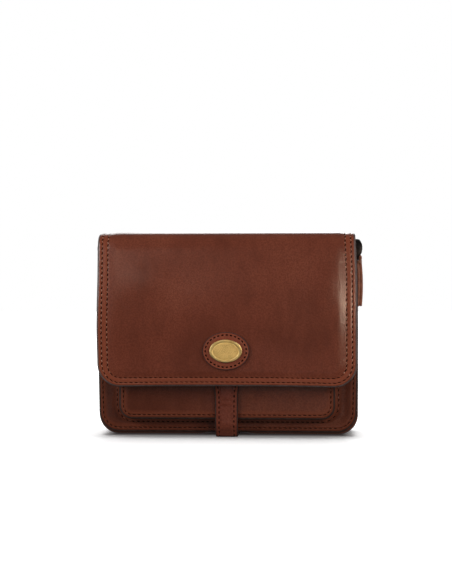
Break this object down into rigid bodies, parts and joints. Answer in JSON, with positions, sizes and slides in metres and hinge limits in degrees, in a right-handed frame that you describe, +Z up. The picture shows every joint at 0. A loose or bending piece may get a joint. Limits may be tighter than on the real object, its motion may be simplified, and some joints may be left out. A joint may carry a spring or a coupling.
{
  "type": "shoulder bag",
  "caption": "Small upright leather shoulder bag with a fold-over flap, a box pocket, a closing tab under an oval badge and swinging strap rings on its sides.",
  "frame": {"origin": "on the surface that the bag stands on, under the middle of the whole bag", "axes": "+X to the right seen from the front, along the bag's width; -Y out of the front, where the flap and badge are; +Z up"},
  "size_m": [0.232, 0.0903, 0.1724],
  "materials": {
    "body_leather": "polished brown hide, dark painted edges",
    "flap_leather": "polished brown hide, dark painted edges",
    "trim_leather": "polished brown hide, dark painted edges",
    "thread": "waxed brown thread",
    "gold_metal": "polished rim, stippled field",
    "dark_metal": "burnished dark",
    "snap_metal": "plain"
  },
  "bodies": {
    "bag": {"front_panel": "body_leather", "back_panel": "body_leather", "gusset": "body_leather", "pocket_front": "body_leather", "pocket_gusset": "body_leather", "flap": "flap_leather", "closing_tab": "trim_leather", "badge_patch": "trim_leather", "badge_plaque": "gold_metal", "snap": "snap_metal", "strap_loop_left": "trim_leather", "strap_loop_right": "trim_leather"},
    "ring_left": {"ring_left": "dark_metal"},
    "ring_right": {"ring_right": "dark_metal"}
  },
  "joints": [
    {"name": "ring_left_swing", "type": "hinge", "parent": "bag", "child": "ring_left", "pos_m": [-0.11088, 0.01606, 0.1515], "axis": [0, -1, 0], "range_deg": [0, 130]},
    {"name": "ring_right_swing", "type": "hinge", "parent": "bag", "child": "ring_right", "pos_m": [0.11088, 0.01606, 0.1515], "axis": [0, 1, 0], "range_deg": [0, 130]}
  ]
}
